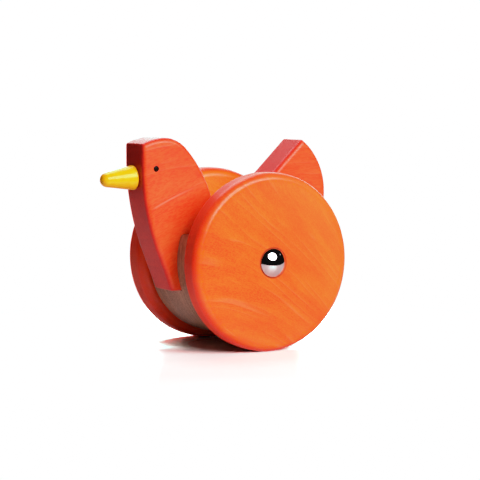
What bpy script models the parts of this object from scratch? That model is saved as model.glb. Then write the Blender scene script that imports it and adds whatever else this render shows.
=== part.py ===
"""Wobbling hen toy: a weighted wooden hen that swings on the axle of its two wooden wheels.

Frame: +Z up, the floor at Z = 0, the beak towards -Y, the hen's left side at +X.
Lengths are in metres and angles in degrees.
Places on the hen are (y, z) from the middle of the axle.
"""

import math

import bmesh
import bpy
from mathutils import Matrix

# Clearances
SEAT_GAP = 0.0003
RUNNING_GAP = 0.0002

# Wheels
WHEEL_RADIUS = 0.045
WHEEL_THICKNESS = 0.014
WHEEL_EDGE_ROUND = 0.004

# Axle, sleeve and washers
AXLE_RADIUS = 0.003
AXLE_CHAMFER = 0.0004
SLEEVE_WALL = 0.001
WASHER_RADIUS = 0.008
WASHER_THICKNESS = 0.0011

# Domed caps and the toothed retainers inside them
CAP_RADIUS = 0.00735
CAP_HEIGHT = 0.00283
CAP_WALL = 0.0006
RETAINER_THICKNESS = 0.0004
RETAINER_TEETH = 8
RETAINER_TOOTH = 0.001

# Drum: two cheeks and a keel, its rim a little inside the wheels' treads
DRUM_INSET = 0.0045
DRUM_FLAT_Z = 0.014
DRUM_CORNER_ROUND = 0.002
CHEEK_THICKNESS = 0.010
CHEEK_EDGE_ROUND = 0.001

# Hen board
BOARD_THICKNESS = 0.020
BOARD_EDGE_ROUND = 0.0025
BOARD_BOTTOM_Z = -0.0145
FRONT_REACH = 0.0594
BREAST_TOP_Z = 0.0505
BREAST_RADIUS = 0.1225
BREAST_SWEEP = 21.5
CROWN_Z = 0.0623
CROWN_BACK = 0.013
BROW_RADIUS = 0.0297
CROWN_RADIUS = 0.0165
CROWN_SWEEP = 46.4
NAPE_RADIUS = 0.063
NOTCH_RADIUS = 0.008
TAIL_EDGE_Y = 0.017
TAIL_EDGE_Z = 0.0439
TAIL_EDGE_SLOPE = 43.7
TAIL_REAR_Y = 0.0486
TAIL_REAR_Z = 0.033
TAIL_RADIUS = 0.0335
RUMP_RADIUS = 0.120

# Beak
BEAK_BELOW_CROWN = 0.0197
BEAK_DROOP = 3.1
BEAK_LENGTH = 0.0183
BEAK_BASE_RADIUS = 0.0062
BEAK_BASE_ROUND = 0.0008
BEAK_TIP_RADIUS = 0.0036
TENON_RADIUS = 0.0035
TENON_LENGTH = 0.010

# Eyes
EYE_BACK = 0.0074
EYE_BELOW_CROWN = 0.0152
EYE_RADIUS = 0.0015
EYE_PEG_LENGTH = 0.004
EYE_PROUD = 0.0002

# Cross dowels
DOWEL_RADIUS = 0.004
DOWEL_Y = 0.024
DOWEL_Z = -0.001
DOWEL_CHAMFER = 0.0005

# Ballast bars: as thick as these walls of wood leave room for, and turned about the axle
# towards the tail until the hen hangs level
BALLAST_RIM_WALL = 0.003
BALLAST_TOP_WALL = 0.003
BALLAST_WEB = 0.0044
BALLAST_END_WALL = 0.003
BALLAST_CHAMFER = 0.0006
BALLAST_TURN = 8.0

# How finely round shapes are divided
WHEEL_SIDES = 64
SMALL_SIDES = 24
EDGE_STEPS = 4
ARC_STEP = 6.0

# Finishes: colour, roughness, metallic
ORANGE_STAIN = ((0.90, 0.19, 0.03), 0.34, 0.0)
RED_STAIN = ((0.82, 0.085, 0.035), 0.32, 0.0)
YELLOW_LACQUER = ((0.93, 0.62, 0.01), 0.28, 0.0)
BLACK_PAINT = ((0.012, 0.010, 0.010), 0.35, 0.0)
NATURAL_WOOD = ((0.56, 0.36, 0.22), 0.50, 0.0)
DOWEL_WOOD = ((0.62, 0.44, 0.29), 0.60, 0.0)
BRIGHT_CHROME = ((0.86, 0.86, 0.87), 0.06, 1.0)
PLAIN_STEEL = ((0.58, 0.58, 0.60), 0.30, 1.0)
DARK_STEEL = ((0.30, 0.30, 0.32), 0.45, 1.0)
PLAIN_BRASS = ((0.78, 0.56, 0.24), 0.32, 1.0)

# Places along the axle, from the middle outwards
BOARD_SIDE_X = BOARD_THICKNESS / 2
CHEEK_INNER_X = BOARD_SIDE_X + SEAT_GAP
CHEEK_OUTER_X = CHEEK_INNER_X + CHEEK_THICKNESS
WASHER_INNER_X = CHEEK_OUTER_X + SEAT_GAP
WASHER_OUTER_X = WASHER_INNER_X + WASHER_THICKNESS
WHEEL_INNER_X = WASHER_OUTER_X + SEAT_GAP
WHEEL_OUTER_X = WHEEL_INNER_X + WHEEL_THICKNESS
CAP_BASE_X = WHEEL_OUTER_X + SEAT_GAP

# Sizes that follow from others
SLEEVE_BORE = AXLE_RADIUS + RUNNING_GAP
SLEEVE_RADIUS = SLEEVE_BORE + SLEEVE_WALL
WHEEL_BORE = AXLE_RADIUS + RUNNING_GAP
CAP_SPHERE = (CAP_RADIUS**2 + CAP_HEIGHT**2) / (2 * CAP_HEIGHT)
CAP_INNER_SPHERE = CAP_SPHERE - CAP_WALL
CAP_CENTRE_X = CAP_HEIGHT - CAP_SPHERE
AXLE_HALF_LENGTH = (
    CAP_BASE_X + CAP_CENTRE_X + math.sqrt(CAP_INNER_SPHERE**2 - AXLE_RADIUS**2) - SEAT_GAP
)
DRUM_RADIUS = WHEEL_RADIUS - DRUM_INSET
KEEL_TOP_Z = BOARD_BOTTOM_Z - SEAT_GAP
FRONT_Y = -FRONT_REACH
CROWN_Y = FRONT_Y + CROWN_BACK
EYE_Y = FRONT_Y + EYE_BACK
EYE_Z = CROWN_Z - EYE_BELOW_CROWN
BALLAST_HALF_LENGTH = CHEEK_OUTER_X - BALLAST_END_WALL

# The beak's base touches the breast with one side of its rim, where the two lean apart
BEAK_Z = CROWN_Z - BEAK_BELOW_CROWN
BREAST_LEAN = math.asin(max(0, BREAST_TOP_Z - BEAK_Z) / BREAST_RADIUS)
BEAK_LEAN = math.radians(BEAK_DROOP)
BEAK_STANDOFF = SEAT_GAP + BEAK_BASE_RADIUS * math.tan(abs(BEAK_LEAN - BREAST_LEAN))
BEAK_BASE_Y = FRONT_Y + BREAST_RADIUS * (1 - math.cos(BREAST_LEAN)) - BEAK_STANDOFF

# The middle of the toy's length, from beak to tail, is at Y = 0
BEAK_TIP_Y = (
    BEAK_BASE_Y - (BEAK_LENGTH - BEAK_TIP_RADIUS) * math.cos(BEAK_LEAN) - BEAK_TIP_RADIUS
)
AXLE_Y = -(BEAK_TIP_Y + TAIL_REAR_Y) / 2


def clear_scene():
    for old in list(bpy.data.objects):
        bpy.data.objects.remove(old)


def new_piece(name, mesh, pivot, finish=None, location=(0, 0, 0), rotation=(0, 0, 0)):
    """An object made from a bmesh, hung on a pivot, with a material of its own."""
    bmesh.ops.recalc_face_normals(mesh, faces=mesh.faces)
    data = bpy.data.meshes.new(name)
    mesh.to_mesh(data)
    mesh.free()
    data.shade_smooth()
    data.set_sharp_from_angle(angle=math.radians(35))
    piece = bpy.data.objects.new(name, data)
    bpy.context.scene.collection.objects.link(piece)
    piece.parent = pivot
    piece.location = location
    piece.rotation_euler = rotation
    if finish:
        colour, roughness, metallic = finish
        material = bpy.data.materials.new(name)
        material.use_nodes = True
        shader = material.node_tree.nodes["Principled BSDF"]
        shader.inputs["Base Color"].default_value = (*colour, 1.0)
        shader.inputs["Roughness"].default_value = roughness
        shader.inputs["Metallic"].default_value = metallic
        data.materials.append(material)
    return piece


def new_pivot(name):
    """An empty in the middle of the axle, on the axis that everything turns about."""
    pivot = bpy.data.objects.new(name, None)
    pivot.location = (0, AXLE_Y, WHEEL_RADIUS)
    bpy.context.scene.collection.objects.link(pivot)
    return pivot


def new_cutter(name, mesh, pivot, location=(0, 0, 0), rotation=(0, 0, 0)):
    cutter = new_piece(name, mesh, pivot, location=location, rotation=rotation)
    cutter.hide_render = True
    cutter.display_type = "WIRE"
    return cutter


def cut(piece, *cutters):
    for cutter in cutters:
        boolean = piece.modifiers.new(cutter.name, "BOOLEAN")
        boolean.operation = "DIFFERENCE"
        boolean.solver = "EXACT"
        boolean.object = cutter


def arc(centre, radius, start, end, step=ARC_STEP):
    """Points on an arc between two angles in degrees, both ends included."""
    count = max(2, math.ceil(abs(end - start) / step))
    points = []
    for i in range(count + 1):
        angle = math.radians(start + (end - start) * i / count)
        points.append((centre[0] + radius * math.cos(angle), centre[1] + radius * math.sin(angle)))
    return points


def turned(profile, sides, closed=False):
    """A body turned about the X axis from (x, radius) points, with a flat side straight down.

    An open profile starts and ends on the axis. A closed one goes round a section with a hole.
    """
    mesh = bmesh.new()
    half_side = math.pi / sides
    verts = []
    for x, radius in profile:
        verts.append(mesh.verts.new((x, radius * math.sin(half_side), -radius * math.cos(half_side))))
    pairs = list(zip(verts, verts[1:]))
    if closed:
        pairs.append((verts[-1], verts[0]))
    edges = [mesh.edges.new(pair) for pair in pairs]
    bmesh.ops.spin(
        mesh,
        geom=verts + edges,
        cent=(0, 0, 0),
        axis=(1, 0, 0),
        angle=2 * math.pi,
        steps=sides,
        use_merge=True,
    )
    bmesh.ops.remove_doubles(mesh, verts=mesh.verts, dist=1e-7)
    return mesh


def round_flats(radius, sides):
    """The corner radius that puts a turned body's flat sides at the given radius."""
    return radius / math.cos(math.pi / sides)


def bar(x_from, x_to, radius, chamfer=0.0, sides=SMALL_SIDES):
    """A round bar along X, with both ends chamfered if asked."""
    side = [(x_from, radius - chamfer), (x_to, radius - chamfer)]
    if chamfer:
        side[1:1] = [(x_from + chamfer, radius), (x_to - chamfer, radius)]
    return turned([(x_from, 0)] + side + [(x_to, 0)], sides)


def bore(x_from, x_to, radius, sides=SMALL_SIDES):
    """A cutter whose flats stand at the bore's radius, so that a round bar of that size passes."""
    return bar(x_from, x_to, round_flats(radius, sides), sides=sides)


def ring(x_from, x_to, inner, outer, sides=SMALL_SIDES):
    """A flat-ended ring along X whose bore has its flats at the inner radius."""
    inner = round_flats(inner, sides)
    return turned([(x_from, inner), (x_from, outer), (x_to, outer), (x_to, inner)], sides, closed=True)


def slab(outline, x_from, x_to, round_low, round_high):
    """An outline of (y, z) points given thickness along X, with its rims rounded over."""
    mesh = bmesh.new()
    face = mesh.faces.new([mesh.verts.new((x_from, y, z)) for y, z in outline])
    extruded = bmesh.ops.extrude_face_region(mesh, geom=[face], use_keep_orig=True)
    moved = [item for item in extruded["geom"] if isinstance(item, bmesh.types.BMVert)]
    bmesh.ops.translate(mesh, verts=moved, vec=(x_to - x_from, 0, 0))
    bmesh.ops.recalc_face_normals(mesh, faces=mesh.faces)
    for x, size in ((x_from, round_low), (x_to, round_high)):
        if size:
            rim = [edge for edge in mesh.edges if all(abs(v.co.x - x) < 1e-7 for v in edge.verts)]
            bmesh.ops.bevel(
                mesh, geom=rim, offset=size, segments=EDGE_STEPS, profile=0.5, affect="EDGES"
            )
    return mesh


def leaves_circle(start, slope, centre, radius):
    """Where a line that rises from a start at a slope in degrees comes out of a circle."""
    along_y, along_z = math.cos(math.radians(slope)), math.sin(math.radians(slope))
    off_y, off_z = start[0] - centre[0], start[1] - centre[1]
    middle = off_y * along_y + off_z * along_z
    reach = math.sqrt(middle**2 - off_y**2 - off_z**2 + radius**2) - middle
    return start[0] + reach * along_y, start[1] + reach * along_z


def heading(centre, point):
    """The direction of a point from a centre, in degrees."""
    return math.degrees(math.atan2(point[1] - centre[1], point[0] - centre[0]))


def hen_outline():
    """The hen's edge as (y, z) points, from the top front corner down the breast and round."""
    breast_centre = (FRONT_Y + BREAST_RADIUS, BREAST_TOP_Z)
    breast = arc(breast_centre, BREAST_RADIUS, 180, 180 + BREAST_SWEEP)
    run_in = (breast[-1][1] - BOARD_BOTTOM_Z) * math.tan(math.radians(BREAST_SWEEP))
    front_foot = (breast[-1][0] + run_in, BOARD_BOTTOM_Z)

    rump_start = -math.degrees(math.asin((TAIL_REAR_Z - BOARD_BOTTOM_Z) / RUMP_RADIUS))
    rump = arc((TAIL_REAR_Y - RUMP_RADIUS, TAIL_REAR_Z), RUMP_RADIUS, rump_start, 0)

    # The tail's tip is where its straight front edge meets its round rear edge
    tail_centre = (TAIL_REAR_Y - TAIL_RADIUS, TAIL_REAR_Z)
    tail_edge = (TAIL_EDGE_Y, TAIL_EDGE_Z)
    tip = leaves_circle(tail_edge, TAIL_EDGE_SLOPE, tail_centre, TAIL_RADIUS)
    tail = arc(tail_centre, TAIL_RADIUS, 0, heading(tail_centre, tip))

    # The crown's arc runs on into the nape's, whose centre lies on the same line
    crown_end = 90 - CROWN_SWEEP
    crown_centre = (CROWN_Y, CROWN_Z - CROWN_RADIUS)
    crown = arc(crown_centre, CROWN_RADIUS, crown_end, 90)
    nape_centre = (
        crown_centre[0] - (NAPE_RADIUS - CROWN_RADIUS) * math.cos(math.radians(crown_end)),
        crown_centre[1] - (NAPE_RADIUS - CROWN_RADIUS) * math.sin(math.radians(crown_end)),
    )

    # The notch's round bottom touches both the tail's straight edge and the nape's arc
    beside_edge = (
        TAIL_EDGE_Y - NOTCH_RADIUS * math.sin(math.radians(TAIL_EDGE_SLOPE)),
        TAIL_EDGE_Z + NOTCH_RADIUS * math.cos(math.radians(TAIL_EDGE_SLOPE)),
    )
    notch_centre = leaves_circle(
        beside_edge, TAIL_EDGE_SLOPE, nape_centre, NAPE_RADIUS + NOTCH_RADIUS
    )
    nape_start = heading(nape_centre, notch_centre)
    notch_ends = (TAIL_EDGE_SLOPE - 90, nape_start - 180)
    notch = arc(notch_centre, NOTCH_RADIUS, *notch_ends, step=2 * ARC_STEP)
    nape = arc(nape_centre, NAPE_RADIUS, nape_start, crown_end)

    brow_sweep = math.degrees(math.asin(CROWN_BACK / BROW_RADIUS))
    brow = arc((CROWN_Y, CROWN_Z - BROW_RADIUS), BROW_RADIUS, 90, 90 + brow_sweep)

    runs = [breast, [front_foot], rump, tail[1:], notch, nape[1:], crown[1:], brow[1:]]
    return [point for run in runs for point in run]


def make_wheel(side_name, side):
    """A thick disc turned from board, free on the axle, with both rims rounded."""
    pivot = new_pivot(side_name + "_wheel_pivot")
    shoulder = round_flats(WHEEL_RADIUS, WHEEL_SIDES) - WHEEL_EDGE_ROUND
    turn = 90 / EDGE_STEPS
    near = arc((WHEEL_EDGE_ROUND, shoulder), WHEEL_EDGE_ROUND, 180, 90, turn)
    far_x = WHEEL_THICKNESS - WHEEL_EDGE_ROUND
    far = arc((far_x, shoulder), WHEEL_EDGE_ROUND, 90, 0, turn)
    hole = round_flats(WHEEL_BORE, WHEEL_SIDES)
    profile = [(0, hole)] + near + far + [(WHEEL_THICKNESS, hole)]
    return new_piece(
        side_name + "_wheel",
        turned(profile, WHEEL_SIDES, closed=True),
        pivot,
        ORANGE_STAIN,
        location=(side * WHEEL_INNER_X, 0, 0),
        rotation=(0, 0, 0 if side > 0 else math.pi),
    )


def make_cap(side_name, side, rod):
    """A domed shell that hides the axle's end, open towards the wheel."""
    rim = math.degrees(math.asin(CAP_RADIUS / CAP_SPHERE))
    inner_rim = math.degrees(math.acos(-CAP_CENTRE_X / CAP_INNER_SPHERE))
    step = rim / EDGE_STEPS
    profile = arc((CAP_CENTRE_X, 0), CAP_SPHERE, 0, rim, step)
    profile += arc((CAP_CENTRE_X, 0), CAP_INNER_SPHERE, inner_rim, 0, step)
    return new_piece(
        side_name + "_cap",
        turned(profile, SMALL_SIDES),
        rod,
        BRIGHT_CHROME,
        location=(side * CAP_BASE_X, 0, 0),
        rotation=(0, 0, 0 if side > 0 else math.pi),
    )


def make_retainer(side_name, side, rod):
    """A thin spring washer with teeth towards the rod, inside the cap."""
    room = CAP_INNER_SPHERE**2 - (RETAINER_THICKNESS - CAP_CENTRE_X) ** 2
    outer = math.sqrt(room) - SEAT_GAP
    tooth_tip = AXLE_RADIUS + SEAT_GAP
    points = 4 * RETAINER_TEETH
    mesh = bmesh.new()
    loops = []
    for x, outside in ((0, True), (0, False), (RETAINER_THICKNESS, False), (RETAINER_THICKNESS, True)):
        loop = []
        for i in range(points):
            between_teeth = i % 4 >= 2
            inner = tooth_tip + (RETAINER_TOOTH if between_teeth else 0)
            radius = outer if outside else inner
            angle = 2 * math.pi * i / points
            loop.append(mesh.verts.new((x, radius * math.cos(angle), radius * math.sin(angle))))
        loops.append(loop)
    for near, far in zip(loops, loops[1:] + loops[:1]):
        for i in range(points):
            after = (i + 1) % points
            mesh.faces.new((near[i], near[after], far[after], far[i]))
    return new_piece(
        side_name + "_retainer",
        mesh,
        rod,
        PLAIN_STEEL,
        location=(side * CAP_BASE_X, 0, 0),
        rotation=(0, 0, 0 if side > 0 else math.pi),
    )


def drum_outline():
    """A cheek's edge: a circle with a flat top, whose two corners are rounded."""
    corner_z = DRUM_FLAT_Z - DRUM_CORNER_ROUND
    corner_y = math.sqrt((DRUM_RADIUS - DRUM_CORNER_ROUND) ** 2 - corner_z**2)
    lean = math.degrees(math.atan2(corner_z, corner_y))
    rear = arc((corner_y, corner_z), DRUM_CORNER_ROUND, lean, 90, 4 * ARC_STEP)
    front = arc((-corner_y, corner_z), DRUM_CORNER_ROUND, 90, 180 - lean, 4 * ARC_STEP)
    belly = arc((0, 0), DRUM_RADIUS, 180 - lean, 360 + lean)
    return rear + front + belly[1:-1]


def keel_outline():
    """The part of the drum's circle that lies under the board."""
    reach = math.degrees(math.asin(-KEEL_TOP_Z / DRUM_RADIUS))
    return arc((0, 0), DRUM_RADIUS, 180 + reach, 360 - reach)


def ballast_places():
    """The bars' radius, and the (y, z) of each, as large as the keel's walls allow."""
    room = DRUM_RADIUS - BALLAST_RIM_WALL
    depth = BALLAST_TOP_WALL - KEEL_TOP_Z
    half_web = BALLAST_WEB / 2
    b = 2 * (half_web + depth + room)
    c = half_web**2 + depth**2 - room**2
    radius = (-b + math.sqrt(b**2 - 4 * c)) / 2
    half_spread = math.degrees(math.asin((half_web + radius) / (room - radius)))
    places = []
    for lean in (-half_spread, half_spread):
        angle = math.radians(lean + BALLAST_TURN)
        places.append(((room - radius) * math.sin(angle), -(room - radius) * math.cos(angle)))
    return radius, places


def make_beak(hen, board):
    """A turned cone with a round tip, and a tenon glued into the head."""
    tip_x = BEAK_LENGTH - BEAK_TIP_RADIUS
    # The side of the cone runs from the base's rim to where it touches the round tip
    to_tip = math.atan2(BEAK_BASE_RADIUS, tip_x)
    taper = to_tip - math.asin(BEAK_TIP_RADIUS / math.hypot(BEAK_BASE_RADIUS, tip_x))
    tip = arc((tip_x, 0), BEAK_TIP_RADIUS, 0, 90 - math.degrees(taper), 2 * ARC_STEP)
    profile = [(-TENON_LENGTH, 0), (-TENON_LENGTH, TENON_RADIUS), (0, TENON_RADIUS)]
    profile += [(0, BEAK_BASE_RADIUS - BEAK_BASE_ROUND), (BEAK_BASE_ROUND, BEAK_BASE_RADIUS)]
    profile += tip[::-1]
    turn = Matrix.Rotation(BEAK_LEAN, 4, "X") @ Matrix.Rotation(-math.pi / 2, 4, "Z")
    place = {"location": (0, BEAK_BASE_Y, BEAK_Z), "rotation": turn.to_euler()}
    beak = new_piece("beak", turned(profile, SMALL_SIDES), hen, YELLOW_LACQUER, **place)
    mortise = bore(-TENON_LENGTH - SEAT_GAP, BEAK_LENGTH, TENON_RADIUS + SEAT_GAP)
    cut(board, new_cutter("mortise_cutter", mortise, hen, **place))
    return beak


def make_eye(side_name, side, hen, board):
    """A round black peg in a blind hole in the side of the head."""
    place = {
        "location": (side * BOARD_SIDE_X, EYE_Y, EYE_Z),
        "rotation": (0, 0, 0 if side > 0 else math.pi),
    }
    peg = bar(-EYE_PEG_LENGTH, EYE_PROUD, EYE_RADIUS, EYE_PROUD, SMALL_SIDES)
    eye = new_piece(side_name + "_eye", peg, hen, BLACK_PAINT, **place)
    hole = bore(-EYE_PEG_LENGTH - SEAT_GAP, BOARD_SIDE_X, EYE_RADIUS + SEAT_GAP)
    cut(board, new_cutter(side_name + "_eye_cutter", hole, hen, **place))
    return eye


def make_hen():
    """The swinging body: board, drum, ballast, dowels, sleeve, beak and eyes."""
    hen = new_pivot("hen_pivot")
    board = new_piece(
        "hen_board",
        slab(hen_outline(), -BOARD_SIDE_X, BOARD_SIDE_X, BOARD_EDGE_ROUND, BOARD_EDGE_ROUND),
        hen,
        RED_STAIN,
    )
    keel = new_piece(
        "belly_keel", slab(keel_outline(), -BOARD_SIDE_X, BOARD_SIDE_X, 0, 0), hen, NATURAL_WOOD
    )
    left = slab(drum_outline(), CHEEK_INNER_X, CHEEK_OUTER_X, 0, CHEEK_EDGE_ROUND)
    right = slab(drum_outline(), -CHEEK_OUTER_X, -CHEEK_INNER_X, CHEEK_EDGE_ROUND, 0)
    cheeks = [
        new_piece("left_cheek", left, hen, NATURAL_WOOD),
        new_piece("right_cheek", right, hen, NATURAL_WOOD),
    ]

    tube = ring(-CHEEK_OUTER_X, CHEEK_OUTER_X, SLEEVE_BORE, SLEEVE_RADIUS)
    new_piece("axle_sleeve", tube, hen, PLAIN_BRASS)
    beyond = WASHER_OUTER_X
    hole = bore(-beyond, beyond, SLEEVE_RADIUS + SEAT_GAP)
    sleeve_cutter = new_cutter("sleeve_cutter", hole, hen)
    cut(board, sleeve_cutter)
    for cheek in cheeks:
        cut(cheek, sleeve_cutter)

    for name, y in (("front_dowel", -DOWEL_Y), ("rear_dowel", DOWEL_Y)):
        place = (0, y, DOWEL_Z)
        peg = bar(-CHEEK_OUTER_X, CHEEK_OUTER_X, DOWEL_RADIUS, DOWEL_CHAMFER)
        new_piece(name, peg, hen, DOWEL_WOOD, location=place)
        hole = bore(-beyond, beyond, DOWEL_RADIUS + SEAT_GAP)
        cutter = new_cutter(name + "_cutter", hole, hen, location=place)
        cut(board, cutter)
        for cheek in cheeks:
            cut(cheek, cutter)

    radius, places = ballast_places()
    for name, (y, z) in zip(("front_ballast", "rear_ballast"), places):
        weight = bar(
            -BALLAST_HALF_LENGTH, BALLAST_HALF_LENGTH, radius - SEAT_GAP, BALLAST_CHAMFER
        )
        new_piece(name, weight, hen, DARK_STEEL, location=(0, y, z))
        pocket = BALLAST_HALF_LENGTH + SEAT_GAP
        cutter = new_cutter(name + "_cutter", bore(-pocket, pocket, radius), hen, location=(0, y, z))
        cut(keel, cutter)
        for cheek in cheeks:
            cut(cheek, cutter)

    make_beak(hen, board)
    for side_name, side in (("left", 1), ("right", -1)):
        make_eye(side_name, side, hen, board)


def make_axle():
    """The rod with all that stays on it: washers, retainers and caps."""
    rod = new_pivot("axle_pivot")
    new_piece(
        "axle", bar(-AXLE_HALF_LENGTH, AXLE_HALF_LENGTH, AXLE_RADIUS, AXLE_CHAMFER), rod, PLAIN_STEEL
    )
    for side_name, side in (("left", 1), ("right", -1)):
        washer = ring(WASHER_INNER_X, WASHER_OUTER_X, AXLE_RADIUS + RUNNING_GAP, WASHER_RADIUS)
        turn = (0, 0, 0 if side > 0 else math.pi)
        new_piece(side_name + "_washer", washer, rod, PLAIN_STEEL, rotation=turn)
        make_retainer(side_name, side, rod)
        make_cap(side_name, side, rod)


clear_scene()
make_axle()
make_hen()
make_wheel("left", 1)
make_wheel("right", -1)
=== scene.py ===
# %% [markdown]
# # A wobbling hen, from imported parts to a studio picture
#
# The toy is a flat wooden hen glued into a round wooden drum. The drum carries hidden weights and
# hangs on the axle of two thick wheels, so the hen nods back and forth as the toy rolls along.
#
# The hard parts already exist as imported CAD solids, which are loaded here as a fixed frame. This
# lesson builds the surfaces that an eye sees around them: turned and sanded wood with its grain,
# stain and lacquer, and two polished steel caps. It ends with a small studio and a camera.

# %% Load the frame
import math
from types import SimpleNamespace

import bmesh
import bpy
from mathutils import Matrix, Vector


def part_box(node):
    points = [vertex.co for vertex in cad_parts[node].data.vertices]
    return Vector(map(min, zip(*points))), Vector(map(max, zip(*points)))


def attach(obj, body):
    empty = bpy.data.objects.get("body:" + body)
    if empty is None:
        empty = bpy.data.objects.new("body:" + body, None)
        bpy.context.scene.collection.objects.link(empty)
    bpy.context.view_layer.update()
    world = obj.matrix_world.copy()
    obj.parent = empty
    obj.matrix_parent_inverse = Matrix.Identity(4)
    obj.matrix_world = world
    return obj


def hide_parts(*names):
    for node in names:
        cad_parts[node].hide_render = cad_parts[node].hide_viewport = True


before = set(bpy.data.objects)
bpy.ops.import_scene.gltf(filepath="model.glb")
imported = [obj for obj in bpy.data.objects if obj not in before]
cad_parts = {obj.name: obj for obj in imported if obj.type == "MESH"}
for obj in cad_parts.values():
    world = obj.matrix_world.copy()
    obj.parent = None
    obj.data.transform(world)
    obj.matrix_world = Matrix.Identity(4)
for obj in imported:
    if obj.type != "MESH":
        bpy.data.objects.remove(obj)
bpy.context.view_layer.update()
MM = 0.001

# %% [markdown]
# ## Where things are
#
# The solids say where everything goes, so most places are read from their boxes instead of typed
# again. All turned pieces sit on the axle, so its middle is the origin that each piece is built
# round. That also keeps the wood's grain fixed to its own piece when the piece turns.

# %% Read the places from the solids
low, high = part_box("left_wheel")
WHEEL_IN, WHEEL_OUT = low.x, high.x
AXLE = Vector((0, (low.y + high.y) / 2, (low.z + high.z) / 2))
WHEEL_RADIUS = (high.z - low.z) / 2
BOARD_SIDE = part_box("hen_board")[1].x
CHEEK_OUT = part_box("left_cheek")[1].x
CAP_BASE, CAP_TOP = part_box("left_cap")[0].x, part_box("left_cap")[1].x
BAR_SIDES = 24


def bar_radius(node):
    """The true radius of a round bar, whose solid has flats that stand a little inside it."""
    low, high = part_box(node)
    return (high.z - low.z) / 2 / math.cos(math.pi / BAR_SIDES)


def bar_middle(node):
    low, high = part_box(node)
    return (low + high) / 2


CAP_RADIUS = bar_radius("left_cap")
AXLE_RADIUS = bar_radius("axle")
print(f"axle at y {AXLE.y / MM:.2f}, z {AXLE.z / MM:.2f} mm")
print(f"wheels {2 * WHEEL_RADIUS / MM:.1f} mm across, caps {2 * CAP_RADIUS / MM:.1f} mm")

# %% [markdown]
# ## Shader sums that read like sums
#
# A finish is a net of shader nodes. Most of them do simple sums, such as "one minus this mask". They
# could be added by hand, one node and two links at a time. Wrapping a socket in a small class lets
# Python's own signs add those Math nodes instead, so the recipes further down read like recipes.


# %% A socket that can be added and multiplied
class Wire:
    """One output of a node. Sums with it add Math nodes."""

    def __init__(self, finish, socket):
        self.finish = finish
        self.socket = socket

    def __add__(self, other):
        return self.finish.maths("ADD", self, other)

    def __sub__(self, other):
        return self.finish.maths("SUBTRACT", self, other)

    def __rsub__(self, other):
        return self.finish.maths("SUBTRACT", other, self)

    def __mul__(self, other):
        return self.finish.maths("MULTIPLY", self, other)

    def __truediv__(self, other):
        return self.finish.maths("DIVIDE", self, other)

    def __rtruediv__(self, other):
        return self.finish.maths("DIVIDE", other, self)

    __radd__ = __add__
    __rmul__ = __mul__


print("wires can be added, taken away, multiplied and divided")

# %% [markdown]
# ## A finish under construction
#
# Stain, oil, lacquer and plating are thin layers over a body of wood or metal. In Blender each is a
# material with one Principled shader. Its nodes could be placed by hand in the editor, but a recipe
# in code can be read and changed. This class adds any node with one method, and has short methods
# for what comes up again and again: a smooth step, a blend of two colours, noise and relief.


# %% A finish and the methods that add to it
class Finish:
    """A material under construction, with its Principled shader."""

    def __init__(self, name, **sockets):
        self.material = bpy.data.materials.new(name)
        self.material.use_nodes = True
        self.tree = self.material.node_tree
        self.shader = self.tree.nodes["Principled BSDF"]
        self.set(**sockets)

    def plug(self, socket, value):
        """A link where the value is a wire, otherwise a plain colour, vector or number."""
        if isinstance(value, Wire):
            self.tree.links.new(value.socket, socket)
        elif socket.type == "RGBA":
            socket.default_value = (*value, 1)
        else:
            socket.default_value = value

    def set(self, **sockets):
        """Plugs values into the shader itself. An underscore stands for a space in a name."""
        for socket, value in sockets.items():
            self.plug(self.shader.inputs[socket.replace("_", " ")], value)

    def node(self, kind, settings, sockets, out=0):
        """Adds a node: its settings first, because some of them change its sockets."""
        made = self.tree.nodes.new(kind)
        for setting, value in settings.items():
            setattr(made, setting, value)
        for socket, value in sockets.items():
            self.plug(made.inputs[socket], value)
        return Wire(self, made.outputs[out])

    def maths(self, operation, first, second=0.0):
        return self.node("ShaderNodeMath", {"operation": operation}, {0: first, 1: second})

    def vectors(self, operation, first, second=(0, 0, 0), out=0):
        settings = {"operation": operation}
        return self.node("ShaderNodeVectorMath", settings, {0: first, 1: second}, out)

    def place(self):
        """The place on the piece, in metres from the piece's own origin."""
        return self.node("ShaderNodeTexCoord", {}, {}, out="Object")

    def parts(self, vector):
        """The X, Y and Z of a vector, each on a wire of its own."""
        split = self.node("ShaderNodeSeparateXYZ", {}, {0: vector})
        return [Wire(self, part) for part in split.socket.node.outputs]

    def step(self, value, low, high):
        """0 below low, 1 above high, and a smooth slope between them."""
        return self.node(
            "ShaderNodeMapRange",
            {"interpolation_type": "SMOOTHSTEP"},
            {"Value": value, "From Min": low, "From Max": high},
        )

    def blend(self, mask, first, second):
        """A colour that goes from the first to the second as the mask goes from 0 to 1."""
        colours = {0: mask, 6: first, 7: second}
        return self.node("ShaderNodeMix", {"data_type": "RGBA"}, colours, out=2)

    def noise(self, place, size, detail=2.0, roughness=0.5, distortion=0.0):
        """Soft random values whose grains have the given size in X, Y and Z."""
        sockets = {
            "Vector": self.vectors("DIVIDE", place, size),
            "Scale": 1.0,
            "Detail": detail,
            "Roughness": roughness,
            "Distortion": distortion,
        }
        return self.node("ShaderNodeTexNoise", {}, sockets)

    def bump(self, height, strength, distance):
        """Fine relief that bends the light without moving the surface."""
        sockets = {"Strength": strength, "Distance": distance, "Height": height}
        self.set(Normal=self.node("ShaderNodeBump", {}, sockets))


print("shader helpers are ready")

# %% [markdown]
# ## Wood that was cut from a tree
#
# Wood is a bundle of long thin fibres. A picture of grain pasted on a surface looks wrong at every
# edge, so this recipe fills the whole space with wood and lets each surface cut through it. Each year
# of growth is a band that starts sharply and fades slowly, so the bands are a saw-tooth wave with
# uneven steps. Fibres and short flecks are noise that is stretched along the grain. A fan makes the
# bands spread across the board and a bow bends them, as in a plank that was sawn near a knot.

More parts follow.
